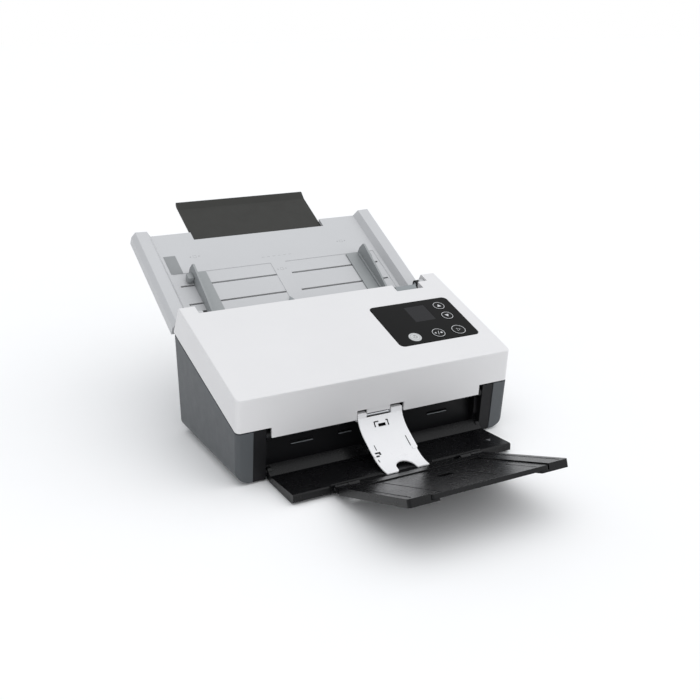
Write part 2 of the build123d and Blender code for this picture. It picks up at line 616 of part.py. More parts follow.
exit_idler_phase = meshed(FEED_AT, EXIT_IDLER_AT, ROLLER_TEETH, 0, EXIT_IDLER_TEETH)
exit_phase = meshed(EXIT_IDLER_AT, EXIT_AT, EXIT_IDLER_TEETH, exit_idler_phase, ROLLER_TEETH)
pick_idler_phase = meshed(FEED_AT, PICK_IDLER_AT, ROLLER_TEETH, 0, PICK_IDLER_TEETH)
pick_phase = meshed(PICK_IDLER_AT, PICK_AT, PICK_IDLER_TEETH, pick_idler_phase, ROLLER_TEETH)
pinion_phase = meshed(FEED_AT, MOTOR_AT, ROLLER_TEETH, 0, PINION_TEETH)

ROLLERS = (
    ("exit", EXIT_AT, EXIT_TYRE_R, exit_phase, (-52, 28), 24),
    ("feed", FEED_AT, FEED_TYRE_R, 0, (-52, 28), 24),
    ("pick", PICK_AT, PICK_TYRE_R, pick_phase, (-19,), 38),
)
SHAFT_START = GEAR_X - GEAR_WIDTH / 2 - 1
for name, centre, tyre_r, phase, starts, length in ROLLERS:
    with BuildPart() as shaft:
        extrude(disc(side(SHAFT_START), *centre, SHAFT_R), amount=128 - SHAFT_START)
        for x in starts:
            extrude(disc(side(x), *centre, tyre_r - 2.0), amount=length)
    save(shaft.part, f"{name}_shaft")
    with BuildPart() as tyres:
        for x in starts:
            extrude(disc(side(x), *centre, tyre_r, tyre_r - 2.0), amount=length)
    save(tyres.part, f"{name}_tyres")
    with BuildPart() as gear:
        extrude(gear_face(centre, ROLLER_TEETH, phase), amount=GEAR_WIDTH)
        extrude(disc(side(GEAR_X - 5), *centre, SHAFT_R), amount=12, mode=Mode.SUBTRACT)
    save(gear.part, f"{name}_gear")

IDLERS = (
    ("exit_idler", EXIT_IDLER_AT, EXIT_IDLER_TEETH, exit_idler_phase),
    ("pick_idler", PICK_IDLER_AT, PICK_IDLER_TEETH, pick_idler_phase),
)
for name, centre, teeth, phase in IDLERS:
    with BuildPart() as idler:
        extrude(gear_face(centre, teeth, phase), amount=GEAR_WIDTH)
        extrude(disc(side(GEAR_X - 5), *centre, 2.0 + RUN), amount=12, mode=Mode.SUBTRACT)
    save(idler.part, name)

# the idlers turn on studs moulded on the left chassis side
with BuildPart() as chassis_left:
    mirror(chassis.part, about=Plane.YZ)
    for centre in (EXIT_IDLER_AT, PICK_IDLER_AT):
        stud_x = GEAR_X - GEAR_WIDTH / 2 - 1.5
        extrude(disc(side(stud_x), *centre, 2.0), amount=-126.0 - stud_x)
save(chassis_left.part, "chassis_left")

with BuildPart() as motor_pinion:
    extrude(gear_face(MOTOR_AT, PINION_TEETH, pinion_phase), amount=GEAR_WIDTH)
    extrude(disc(side(GEAR_X), *MOTOR_AT, 2.0), amount=-127.6 - GEAR_X)
save(motor_pinion.part, "motor_pinion")

with BuildPart() as feed_motor:
    extrude(disc(side(-123.4), *MOTOR_AT, 13.5), amount=30)
    can = feed_motor.edges().filter_by(GeomType.CIRCLE)
    fillet(can, 1.5)
    extrude(disc(side(-93.4), *MOTOR_AT, 5.0), amount=3)
save(feed_motor.part, "feed_motor")

with BuildPart() as main_board:
    extrude(plate(level(13), -60, 108, 96, 158, 3), amount=1.6)
    extrude(plate(level(14.6), -30, -6, 110, 134), amount=2)
    extrude(plate(level(14.6), 14, 30, 112, 128), amount=1.4)
    for x in (-48, 44):
        extrude(plate(level(14.6), x, x + 18, 100, 106), amount=6)
    for x in (0, 14, 50):
        extrude(disc(level(14.6), x, 146, 4), amount=9)
save(main_board.part, "main_board")

with BuildPart() as power_jack:
    extrude(plate(side(90), 150, 161.5, 18.6, 30), amount=12)
    extrude(disc(facing(161), 96, 24, 5.0), amount=-4.4)
    extrude(disc(facing(154), 96, 24, 3.2), amount=-12, mode=Mode.SUBTRACT)
    extrude(disc(facing(154), 96, 24, 1.1), amount=-10)
save(power_jack.part, "power_jack")

with BuildPart() as data_socket:
    extrude(plate(facing(150), 65, 77, 18.5, 29.5), amount=-15.6)
    extrude(plate(facing(154), 66.8, 75.2, 20.2, 27.8), amount=-12, mode=Mode.SUBTRACT)
    extrude(plate(facing(154), 68.6, 73.4, 22.6, 25.4), amount=-9.5)
save(data_socket.part, "data_socket")

# ------------------------------------------------------------------ input tray
EXT_HALF = 85.0
KEY_SLOTS = (118.6, 148.2)    # slots that the paper guides' keys run in
RAIL_RIDGE = (153.5, 8.6)     # the rails' outer ridge: distance from the middle, height above the plate
RAIL_FOOT = -7.7
rail_section = (
    (131.0, RAIL_FOOT), (131.0, 0), (134.5, 0), (139.8, 8.0), RAIL_RIDGE, (157.6, 1.7), (HALF, RAIL_FOOT),
)
rail_hollow = ((137.0, -12), (137.0, -1.5), (141.4, 5.4), (152.2, 5.9), (155.1, 0.8), (155.4, -12))
with BuildPart() as input_tray:
    for sign in (1, -1):
        section = [(sign * x, h) for x, h in rail_section]
        extrude(outline(across_tray(85.5), *section), amount=TRAY_END - 85.5)
    ridges = input_tray.edges().filter_by(lambda e: abs(abs(e.center().X) - RAIL_RIDGE[0]) < 0.1)
    fillet(ridges.filter_by(lambda e: e.length > 100), 1.2)
    for sign in (1, -1):
        section = [(sign * x, h) for x, h in rail_hollow]
        extrude(outline(across_tray(88.5), *section), amount=TRAY_END - 91.0, mode=Mode.SUBTRACT)
    extrude(plate(tray(-2.5), -132.5, 132.5, TRAY_START, TRAY_END), amount=2.5)
    extrude(plate(tray(-5), -85.6, 85.6, 223.4, 250), amount=10, mode=Mode.SUBTRACT)
    # key slots of the paper guides
    for s in KEY_SLOTS:
        for x0, x1 in ((-127, -9), (10, 127)):
            extrude(plate(tray(-5), x0, x1, s - 1.2, s + 1.2), amount=10, mode=Mode.SUBTRACT)
    # shallow areas that the guide feet slide in
    for x0, x1 in ((-130, -9), (10, 130)):
        extrude(plate(tray(-0.5), x0, x1, 92, 168.6), amount=5, mode=Mode.SUBTRACT)
    # edge bars under the plate close the extension's channel
    for x0, x1 in ((-91, -EXT_HALF - GAP), (EXT_HALF + GAP, 91)):
        extrude(plate(tray(-5.6), x0, x1, 154, 236), amount=3.2)
    # arms to the hinge
    for start in (133.3, -139.3):
        arm = (
            (139.8, 133), (141.2, 113.5), (144.5, 110.6), (177.4, 111.8),
            (176.4, 114.4), (170.5, 117.4), (152.5, 118.0), (150.2, 121), (150.2, 134),
        )
        extrude(outline(side(start), *arm), amount=6.0)
        extrude(disc(side(start), *TRAY_PIN, 5.2), amount=6.0)
    extrude(disc(side(-145), *TRAY_PIN, TRAY_PIN_R + RUN), amount=290, mode=Mode.SUBTRACT)
save(input_tray.part, "input_tray")

with BuildPart() as tray_underside:
    extrude(plate(tray(-8.0), -130.6, 130.6, TRAY_START + 0.5, 218, 3), amount=2.0)
    for x in (-110, 108):
        extrude(plate(tray(-6.0), x, x + 2, 92, 110), amount=3.5)
save(tray_underside.part, "tray_underside")

with BuildPart() as tray_extension:
    extrude(plate(tray(-5.2), -EXT_HALF, EXT_HALF, 205, 292, 4), amount=2.2)
    lip = ((281, -5.2), (281, -3.0), (283, -2.9), (292.6, 0.0), (294.2, -0.4), (293.2, -3.6), (290.8, -5.2))
    bend = [on_tray(s, h) for s, h in lip]
    extrude(outline(side(-EXT_HALF), *bend), amount=2 * EXT_HALF)
save(tray_extension.part, "tray_extension")

# Paper guides: a foot on the plate, a fence, and below the plate a rack on the shared pinion.
PINION_S = 134.9
GUIDE_PINION_TEETH = 20
GUIDE_PINION_R = half_module * GUIDE_PINION_TEETH


def rack_face(hand, way):
    """Rack seen on the tray's plane; way is 1 behind the pinion and -1 in front of it."""
    pitch = pi * GEAR_MODULE
    line = PINION_S + way * GUIDE_PINION_R
    inner = -hand * 20 * pitch
    outer = hand * 34 * pitch
    points = [(outer, line + way * 5.0), (outer, line + way * 1.2)]
    for i in range(54, 0, -1):
        centre = inner + hand * (i - 0.5) * pitch
        for share, rise in TOOTH:
            points.append((centre - hand * share * pitch, line - way * rise))
    points += [(inner, line + way * 1.2), (inner, line + way * 5.0)]
    return outline(tray(-5.3), *points)


for name, hand, way in (("guide_left", -1, 1), ("guide_right", 1, -1)):
    with BuildPart() as guide:
        x_in, x_out = sorted((hand * 91.0, hand * 110.6))
        extrude(plate(tray(-0.35), x_in, x_out, 93.5, 167.6, 1.5), amount=1.45)
        fence = (
            on_tray(92.5, 0.0), on_tray(92.5, 9.0), on_tray(112, 12.6), on_tray(152, 17.6),
            on_tray(161.5, 18.6), on_tray(163.6, 17.8), on_tray(168.0, 8.0), on_tray(168.4, 0.0),
        )
        start = 108.6 if hand > 0 else -111.0
        extrude(outline(side(start), *fence), amount=2.4)
        extrude(rack_face(hand, way), amount=2.4)
        key_s = KEY_SLOTS[1] if way > 0 else KEY_SLOTS[0]
        x_in, x_out = sorted((hand * 97.0, hand * 106.0))
        extrude(plate(tray(-2.95), x_in, x_out, key_s - 0.9, key_s + 0.9), amount=2.7)
        rack_edge = PINION_S + way * (GUIDE_PINION_R + 4.9)
        low, high = sorted((key_s - way * 0.9, rack_edge - way * 0.2))
        extrude(plate(tray(-5.3), x_in, x_out, low, high), amount=2.4)
    save(guide.part, name)

with BuildPart() as guide_pinion:
    points = []
    for tooth in range(GUIDE_PINION_TEETH):
        for share, rise in TOOTH:
            angle = (tooth + share) * 2 * pi / GUIDE_PINION_TEETH
            radius = GUIDE_PINION_R + rise
            points.append((radius * cos(angle), PINION_S + radius * sin(angle)))
    extrude(outline(tray(-5.3), *points), amount=2.4)
    extrude(disc(tray(-5.8), 0, PINION_S, 3.0), amount=0.6)
save(guide_pinion.part, "guide_pinion")

# ------------------------------------------------------------------ output tray and exit flap
OUT_HALF = 125.0
LIP_HALF = 86.0
with BuildPart() as output_tray:
    tray_side = (
        (9.4, 15.8), (9.4, 6.5), (6.0, 2.6), (0, 1.4), (-49, 0.8),
        (-53.3, 3.2), (-53.3, 9.6), (-52.2, 10.7), (-1.5, 8.0),
    )
    extrude(outline(side(0), *tray_side), amount=OUT_HALF, both=True)
    lip_side = ((-52.8, 2.5), (-52.4, 12.4), (-53.4, 12.8), (-54.3, 11.0), (-54.3, 3.4))
    extrude(outline(side(0), *lip_side), amount=LIP_HALF, both=True)
    # low place in the lip for the exit flap
    extrude(plate(level(11.0), -30.5, 27.5, -56, -51.8, 1.5), amount=4, mode=Mode.SUBTRACT)
    hollow = ((-1, -1), (-1, 4.6), (-49.5, 6.8), (-49.5, -1))
    extrude(outline(side(0), *hollow), amount=OUT_HALF - 3, both=True, mode=Mode.SUBTRACT)
    for x in (-80, -40, 0, 40, 80):
        extrude(outline(side(x - 1), (-1, 2), (-1, 4.8), (-49.6, 7.0), (-49.6, 2)), amount=2)
    for start in (-70, 58):
        arm = ((-50, 4.0), (-50, 9.0), (-58.5, 13.4), (-58.5, 5.4))
        extrude(outline(side(start), *arm), amount=12)
        extrude(disc(side(start), *OUT_PIN, 3.9), amount=12)
    extrude(disc(side(-90), *OUT_PIN, 1.5 + RUN), amount=180, mode=Mode.SUBTRACT)
    # open clips over the two studs
    for start in (OUT_HALF - 4, -OUT_HALF):
        extrude(disc(side(start), *CLIP_AT, 4.6), amount=4)
        extrude(disc(side(start - 1), *CLIP_AT, 2.15), amount=6, mode=Mode.SUBTRACT)
        mouth = plate(side(start - 1), CLIP_AT[0], 14, CLIP_AT[1] - 2.15, CLIP_AT[1] + 2.15)
        extrude(mouth, amount=6, mode=Mode.SUBTRACT)
save(output_tray.part, "output_tray")

with BuildPart() as output_hinge_pins:
    for start in (57.5, -84.0):
        extrude(disc(side(start), *OUT_PIN, 1.5), amount=26.5)
save(output_hinge_pins.part, "output_hinge_pins")

OUT_LONG = 137.5
OUT_EXT_HALF = 84.0
LEAF_HALF = 61.5
with BuildPart() as output_extension:
    extrude(plate(outfeed(-5.2), -OUT_EXT_HALF, OUT_EXT_HALF, -OUT_LONG, -5.5, 3), amount=7.7)
    half = LEAF_HALF + GAP
    extrude(plate(outfeed(-3.2), -half, half, -OUT_LONG - 2, -26), amount=8, mode=Mode.SUBTRACT)
    half = LEAF_HALF - 8
    finger_notch = plate(outfeed(-7), -half, half, -OUT_LONG - 2, -OUT_LONG + 14)
    extrude(finger_notch, amount=9, mode=Mode.SUBTRACT)
    # hinge knuckles either side of the output tray's
    extrude(plate(outfeed(-7), -71, 71, -9.5, 10), amount=12, mode=Mode.SUBTRACT)
    for start in (-OUT_EXT_HALF, 70.5):
        extrude(disc(side(start), *OUT_PIN, 3.9), amount=OUT_EXT_HALF - 70.5)
    extrude(plate(outfeed(-3.6), -OUT_EXT_HALF, -70.5, -6, -1), amount=6.1)
    extrude(plate(outfeed(-3.6), 70.5, OUT_EXT_HALF, -6, -1), amount=6.1)
    extrude(disc(side(-90), *OUT_PIN, 1.5 + RUN), amount=180, mode=Mode.SUBTRACT)
save(output_extension.part, "output_extension")

STOP_X = (-20.0, 15.0)
STOP_Y = (-122.0, -62.0)
with BuildPart() as output_leaf:
    extrude(plate(outfeed(-2.9), -LEAF_HALF, LEAF_HALF, -OUT_LONG - 0.6, -28, 3), amount=4.3)
    x0, x1 = STOP_X
    y0, y1 = STOP_Y
    extrude(plate(outfeed(-1.7), x0 - 0.5, x1 + 0.5, y0 - 0.5, y1 + 0.5, 1.5), amount=6, mode=Mode.SUBTRACT)
    for x in (-50, 50):
        extrude(plate(outfeed(1.0), x - 0.6, x + 0.6, -OUT_LONG + 2, -32), amount=2, mode=Mode.SUBTRACT)
save(output_leaf.part, "output_leaf")

with BuildPart() as paper_stopper:
    extrude(plate(outfeed(-1.3), *STOP_X, *STOP_Y, 1.5), amount=2.5)
    front_end = paper_stopper.edges().filter_by(lambda e: abs(e.tangent_at(0.5).X) > 0.99 and e.length > 20)
    fillet(front_end.group_by(Axis.Y)[0], 1.2)
    extrude(plate(outfeed(-2), -10, 5, STOP_Y[1] - 10, STOP_Y[1] + 2, 2), amount=5, mode=Mode.SUBTRACT)
save(paper_stopper.part, "paper_stopper")

FLAP_X = (-26.4, 25.2)
FLAP_END = -58.4
FLAP_SKIN = 1.2
FLAP_BEND = (
    (1.0, 47.6), (-2.7, 40.0), (-8.0, 34.3), (-18.0, 27.3),
    (-29.0, 20.3), (-41.0, 14.9), (-50.0, 13.0), (FLAP_END, 12.6),
)


def beneath(line, thickness):
    """Points of a line's other side, a thickness below it and behind it."""
    shifted = []
    for i, (y, z) in enumerate(line):
        y1, z1 = line[max(i - 1, 0)]
        y2, z2 = line[min(i + 1, len(line) - 1)]
        share = thickness / hypot(y2 - y1, z2 - z1)
        shifted.append((y - (z2 - z1) * share, z + (y2 - y1) * share))
    return shifted


with BuildPart() as exit_flap:
    under = beneath(FLAP_BEND, FLAP_SKIN)
    with BuildSketch(side(FLAP_X[0])) as flap_side:
        with BuildLine():
            Spline(*FLAP_BEND)
            Line(FLAP_BEND[-1], under[-1])
            Spline(*reversed(under))
            Line(under[0], FLAP_BEND[0])
        make_face()
    extrude(amount=FLAP_X[1] - FLAP_X[0])
    for start, end in ((FLAP_X[0], -16.4), (12.4, FLAP_X[1])):
        ear = ((1.3, 44.6), (1.0, 47.6), (1.3, 52.6), (6.2, 53.0), (10.2, 46), (7.2, 43.2), (2.8, 43.6))
        extrude(outline(side(start), *ear), amount=end - start)
        extrude(disc(side(start), *COVER_PIN, 5.0), amount=end - start)
    extrude(disc(side(-40), *COVER_PIN, COVER_PIN_R + RUN), amount=80, mode=Mode.SUBTRACT)
    # the right edge steps in below the bend
    step = ((FLAP_X[1] + 1, -30.2), (FLAP_X[1] - 0.2, -30.2), (23.4, -31.8), (21.4, -60), (FLAP_X[1] + 1, -60))
    extrude(outline(level(5), *step), amount=20, mode=Mode.SUBTRACT)
    # thumb notch at the lower edge and a small window near the top
    notch = ((-15.2, FLAP_END - 1), (-12.6, -56.6), (-11.4, -52.2), (8.4, -52.2), (8.4, FLAP_END - 1))
    extrude(outline(level(5), *notch), amount=14, mode=Mode.SUBTRACT)
    extrude(disc(level(5), -1.5, -52.2, 9.9), amount=14, mode=Mode.SUBTRACT)
    with BuildSketch(facing(-20)):
        with Locations((-1, 38.5)):
            Rectangle(8.8, 3.0)
    extrude(amount=-20, mode=Mode.SUBTRACT)
save(exit_flap.part, "exit_flap")
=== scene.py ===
"""A desktop sheet-fed document scanner: finishes and fine details around its fixed frame."""

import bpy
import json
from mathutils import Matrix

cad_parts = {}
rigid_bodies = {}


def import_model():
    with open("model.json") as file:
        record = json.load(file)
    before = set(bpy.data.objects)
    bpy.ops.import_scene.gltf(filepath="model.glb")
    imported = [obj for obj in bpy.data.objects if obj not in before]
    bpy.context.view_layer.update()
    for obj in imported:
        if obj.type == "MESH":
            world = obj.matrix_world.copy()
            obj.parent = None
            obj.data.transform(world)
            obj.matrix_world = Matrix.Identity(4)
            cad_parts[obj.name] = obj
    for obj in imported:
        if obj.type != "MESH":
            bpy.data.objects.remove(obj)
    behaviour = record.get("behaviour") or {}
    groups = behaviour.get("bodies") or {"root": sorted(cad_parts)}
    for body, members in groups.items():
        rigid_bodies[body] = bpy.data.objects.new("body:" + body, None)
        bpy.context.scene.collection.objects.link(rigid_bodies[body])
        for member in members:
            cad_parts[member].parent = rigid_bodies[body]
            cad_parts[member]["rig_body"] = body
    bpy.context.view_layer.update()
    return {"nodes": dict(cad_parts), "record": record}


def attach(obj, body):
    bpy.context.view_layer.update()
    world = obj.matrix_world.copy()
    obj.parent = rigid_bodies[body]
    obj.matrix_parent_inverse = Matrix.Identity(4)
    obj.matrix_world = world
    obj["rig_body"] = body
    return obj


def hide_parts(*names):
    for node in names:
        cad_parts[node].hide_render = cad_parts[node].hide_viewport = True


bl_info = {
    "name": "Document Scanner",
    "version": (1, 0, 0),
    "blender": (4, 5, 0),
    "location": "View3D > Sidebar > Scanner",
    "description": "Finishes and fine details of a sheet-fed document scanner",
    "category": "Object",
}

import json
from math import atan, pi, radians

import bpy
from bpy.props import FloatProperty, FloatVectorProperty, IntProperty, PointerProperty
from mathutils import Matrix, Vector

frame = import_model()

MM = 0.001
FRONT_Y = -0.0839             # depth of the cover's lower front edge in the frame
SLOT_COLOUR = {m["slot"]: tuple(m["base_color"][:3]) for m in frame["record"]["materials"]}
SLOT_OF = {part["node"]: part["material_slot"] for part in frame["record"]["subparts"]}
FINISH = {}


# ------------------------------------------------------------------ planes to build on
class Slope:
    """A plane that rises towards the back: x to the right, y up the slope, z off its face, in millimetres."""

    def __init__(self, depth, height, angle):
        place = Matrix.Translation((0, FRONT_Y + depth * MM, height * MM))
        self.matrix = place @ Matrix.Rotation(angle, 4, "X")

    def at(self, x, y, z):
        return self.matrix @ Vector((x * MM, y * MM, z * MM))

    def turned(self, turn):
        return (self.matrix @ Matrix.Rotation(turn, 4, "Z")).to_euler()


LEVEL = Slope(0, 0, 0)
LID = Slope(-3.1, 92.8, atan(0.3327))
TRAY = Slope(99.6, 72.6, radians(29.0))
OUTFEED = Slope(-58.5, 9.5, radians(-19.3))
REAR = Slope(164.5, 2.1, radians(87.17))
# the exit flap's upper surface: depth and height along its bend
FLAP_BEND = (
    (1.0, 47.6), (-2.7, 40.0), (-8.0, 34.3), (-18.0, 27.3),
    (-29.0, 20.3), (-41.0, 14.9), (-50.0, 13.0), (-58.4, 12.6),
)

KEYS = {
    "key_up": (124.5, 95.8, 7.3),
    "key_down": (123.9, 76.1, 7.3),
    "key_scan": (121.4, 48.6, 8.5),
    "key_stop": (95.7, 48.7, 8.0),
    "key_power": (65.8, 48.3, 7.3),
}
KEY_TOP = 0.7                         # height of a key's face over the lid
KEY_RIM = 0.65                        # bare rim outside a key's ring
KEY_PRINT = (KEY_TOP - 0.05, KEY_TOP + 0.08)   # bottom and top of the signs printed on the keys
TRAY_MARKS = ((-94.9, 194.3), (96.1, 192.1), (0.7, 156.4))     # sheet size marks: x, distance up the tray
TRAY_DASHES = (-16, -9, -2, 5, 12, 19)         # left ends of the dashes across the tray
DASH = 3.4                            # length of one dash
GUIDES = (("guide_left", -1), ("guide_right", 1))
CAMERA_AT = (-0.47305, FRONT_Y - 0.80552, 0.43243)
CAMERA_TURN = (radians(71.34), 0, radians(-28.48))
CAMERA_LENS = 51.01
CAMERA_SENSOR = 36.0
LIGHT_FROM = (0.32, -0.36, 0.88)      # direction of the key light


# ------------------------------------------------------------------ modelling helpers
def clear():
    if bpy.context.mode != "OBJECT":
        bpy.ops.object.mode_set(mode="OBJECT")
    bpy.ops.object.select_all(action="DESELECT")


def only(shape):
    clear()
    shape.select_set(True)
    bpy.context.view_layer.objects.active = shape
    return shape


def settle(shape):
    """Put a shape's place, turn and size into its mesh."""
    only(shape)
    bpy.ops.object.transform_apply(location=True, rotation=True, scale=True)
    return shape


def bevel(shape, width, segments=2):
    only(shape)
    bpy.ops.object.mode_set(mode="EDIT")
    bpy.ops.mesh.select_all(action="SELECT")
    bpy.ops.mesh.bevel(offset=width * MM, segments=segments, affect="EDGES")
    bpy.ops.object.mode_set(mode="OBJECT")
    return shape


def block(slope, x, y, z, soft=0.0, turn=0.0):
    """Block between two x, two y and two z values of a plane, with its edges softened."""
    middle = [(a + b) / 2 for a, b in (x, y, z)]
    size = [abs(b - a) * MM for a, b in (x, y, z)]
    clear()
    bpy.ops.mesh.primitive_cube_add(size=1, location=slope.at(*middle), rotation=slope.turned(turn))
    shape = bpy.context.object
    shape.scale = size
    settle(shape)
    return bevel(shape, soft) if soft else shape


def disc(slope, x, y, radius, z, sides=48, turn=0.0, soft=0.0):
    clear()
    bpy.ops.mesh.primitive_cylinder_add(
        vertices=sides, radius=radius * MM, depth=(z[1] - z[0]) * MM,
        location=slope.at(x, y, (z[0] + z[1]) / 2), rotation=slope.turned(turn),
    )
    shape = settle(bpy.context.object)
    return bevel(shape, soft) if soft else shape


def hoop(slope, x, y, z, radius, line, sides=56, turn=0.0, rise=0.3):
    """Raised ring; rise is its height as a share of its line's width."""
    clear()
    bpy.ops.mesh.primitive_torus_add(
        major_radius=radius * MM, minor_radius=line * MM / 2, major_segments=sides, minor_segments=8,
        location=slope.at(x, y, z), rotation=slope.turned(turn),
    )
    shape = bpy.context.object
    shape.scale = (1, 1, rise)
    return settle(shape)


def arc(slope, x, y, z, radius, line, height, sweep, turn=0.0, steps=28):
    """Square-edged part of a ring, spun from a small plane about the ring's centre."""
    clear()
    start = Matrix.Rotation(turn, 4, "Z") @ Vector((radius, 0, 0))
    bpy.ops.mesh.primitive_plane_add(
        size=1, location=slope.at(x + start.x, y + start.y, z + height / 2),
        rotation=(slope.matrix @ Matrix.Rotation(turn, 4, "Z") @ Matrix.Rotation(pi / 2, 4, "X")).to_euler(),
    )
    shape = bpy.context.object
    shape.scale = (line * MM, height * MM, 1)
    settle(shape)
    bpy.ops.object.mode_set(mode="EDIT")
    bpy.ops.mesh.select_all(action="SELECT")
    bpy.ops.mesh.spin(
        steps=steps, angle=sweep, center=slope.at(x, y, z), axis=slope.matrix.to_3x3() @ Vector((0, 0, 1)),
    )
    bpy.ops.mesh.select_all(action="SELECT")
    bpy.ops.mesh.remove_doubles(threshold=0.000001)
    bpy.ops.mesh.normals_make_consistent(inside=False)
    bpy.ops.object.mode_set(mode="OBJECT")
    return shape


def joined(shapes):
    clear()
    for shape in shapes:
        shape.select_set(True)
    bpy.context.view_layer.objects.active = shapes[0]
    if len(shapes) > 1:
        bpy.ops.object.join()
    return bpy.context.object


def place(shape, name, body, slot, finish=None, angle=35.0):
    """Name a finished shape, give it its finish and let it ride its body."""
    shape.name = name
    shape.data.name = name
    shape.data.materials.clear()
    shape.data.materials.append(FINISH[finish or slot])
    only(shape)
    bpy.ops.object.shade_smooth_by_angle(angle=radians(angle))
    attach(shape, body)
    return shape


def even_normals(shape):
    """Let the large flat faces rule the shading, so that only the rounded edges look rounded."""
    only(shape)
    weighting = shape.modifiers.new("even_normals", "WEIGHTED_NORMAL")
    weighting.keep_sharp = True
    weighting.weight = 100
    bpy.ops.object.modifier_apply(modifier=weighting.name)


def moulding(node, width, angle=30.0):
    """Copy of a frame node with every sharp edge rounded, shown in the node's place."""
    source = frame["nodes"][node]
    copy = bpy.data.objects.new(node + "_moulding", source.data.copy())
    bpy.context.scene.collection.objects.link(copy)
    only(copy)
    bpy.ops.object.mode_set(mode="EDIT")
    bpy.ops.mesh.select_all(action="SELECT")
    bpy.ops.mesh.remove_doubles(threshold=0.000002)
    bpy.ops.mesh.dissolve_limited(angle_limit=radians(0.6))
    bpy.ops.mesh.select_all(action="DESELECT")
    bpy.ops.mesh.edges_select_sharp(sharpness=radians(angle))
    bpy.ops.mesh.bevel(offset=width, segments=2, affect="EDGES", clamp_overlap=True)
    bpy.ops.object.mode_set(mode="OBJECT")
    place(copy, node + "_moulding", source["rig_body"], SLOT_OF[node])
    even_normals(copy)
    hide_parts(node)
    return copy


# ------------------------------------------------------------------ finishes
def blank(name):
    made = bpy.data.materials.new(name)
    made.use_nodes = True
    return made, made.node_tree.nodes["Principled BSDF"]


def add(made, kind, settings=None, **inputs):
    """New shader node; a value goes on its socket, and another node's output is linked to it."""
    new = made.node_tree.nodes.new("ShaderNode" + kind)
    for key, value in (settings or {}).items():
        setattr(new, key, value)
    for key, value in inputs.items():
        socket = new.inputs[key.replace("_", " ")]
        if isinstance(value, bpy.types.NodeSocket):
            made.node_tree.links.new(value, socket)
        else:
            socket.default_value = value
    return new


def noise(made, scale, detail=3.0, roughness=0.55, stretch=(1, 1, 1)):
    spot = add(made, "TexCoord").outputs["Object"]
    if stretch != (1, 1, 1):
        spot = add(made, "Mapping", Vector=spot, Scale=stretch).outputs["Vector"]
    return add(made, "TexNoise", Vector=spot, Scale=scale, Detail=detail, Roughness=roughness).outputs["Fac"]


def between(made, factor, low, high, start=0.3, end=0.7):
    """Colour that runs from one shade to another as a factor rises."""
    ramp = add(made, "ValToRGB", Fac=factor)
    ramp.color_ramp.elements[0].position = start
    ramp.color_ramp.elements[1].position = end
    ramp.color_ramp.elements[0].color = (*low, 1)
    ramp.color_ramp.elements[1].color = (*high, 1)
    return ramp.outputs["Color"]


def spread(made, factor, low, high, start=0.3, end=0.7):
    """Number that runs from low to high as a factor rises."""
    scaled = add(made, "MapRange", Value=factor, From_Min=start, From_Max=end, To_Min=low, To_Max=high)
    return scaled.outputs["Result"]


def shade(colour, amount):
    return tuple(min(1.0, c * (1 + amount)) for c in colour)


def set_fixed(shader, **values):
    for key, value in values.items():
        shader.inputs[key.replace("_", " ")].default_value = value


def moulded(slot, colour, roughness, specular=0.5, mottle=0.025, gloss=0.05, grain=1700.0, depth=0.02):
    """Injection-moulded plastic: slight shade drift, uneven gloss and a fine spark-eroded grain."""
    made, shader = blank(slot)
    wire = made.node_tree.links.new
    broad = noise(made, 11.0, detail=4.0, roughness=0.6)
    wire(between(made, broad, shade(colour, -mottle), shade(colour, mottle)), shader.inputs["Base Color"])
    rubbed = noise(made, 70.0, detail=6.0, roughness=0.7)
    wire(spread(made, rubbed, roughness - gloss, roughness + gloss), shader.inputs["Roughness"])
    set_fixed(shader, Specular_IOR_Level=specular)
    fine = noise(made, grain, detail=2.0, roughness=0.5)
    bump = add(made, "Bump", Strength=0.35, Distance=depth * MM, Height=fine)
    wire(bump.outputs["Normal"], shader.inputs["Normal"])
    FINISH[slot] = made


def rubbery(slot, colour, ground=900.0):
    """Matt rubber with a ground, faintly pitted surface."""
    made, shader = blank(slot)
    wire = made.node_tree.links.new
    worn = noise(made, 120.0, detail=5.0)
    wire(between(made, worn, shade(colour, -0.2), shade(colour, 0.35)), shader.inputs["Base Color"])
    wire(spread(made, worn, 0.72, 0.92), shader.inputs["Roughness"])
    set_fixed(shader, Specular_IOR_Level=0.3, Sheen_Weight=0.08, Sheen_Roughness=0.5)
    pits = noise(made, ground, detail=4.0, stretch=(1, 2.5, 2.5))
    bump = add(made, "Bump", Strength=0.6, Distance=0.06 * MM, Height=pits)
    wire(bump.outputs["Normal"], shader.inputs["Normal"])
    FINISH[slot] = made


def drawn_metal(slot, colour, roughness, stretch):
    """Bar or sheet metal with fine drawing lines and a few duller patches."""
    made, shader = blank(slot)
    wire = made.node_tree.links.new
    lines = noise(made, 2600.0, detail=3.0, stretch=stretch)
    patches = noise(made, 35.0, detail=5.0)
    wire(between(made, patches, shade(colour, -0.15), shade(colour, 0.1)), shader.inputs["Base Color"])
    wire(spread(made, lines, roughness - 0.08, roughness + 0.12), shader.inputs["Roughness"])
    set_fixed(shader, Metallic=1.0)
    bump = add(made, "Bump", Strength=0.3, Distance=0.012 * MM, Height=lines)
    wire(bump.outputs["Normal"], shader.inputs["Normal"])
    FINISH[slot] = made


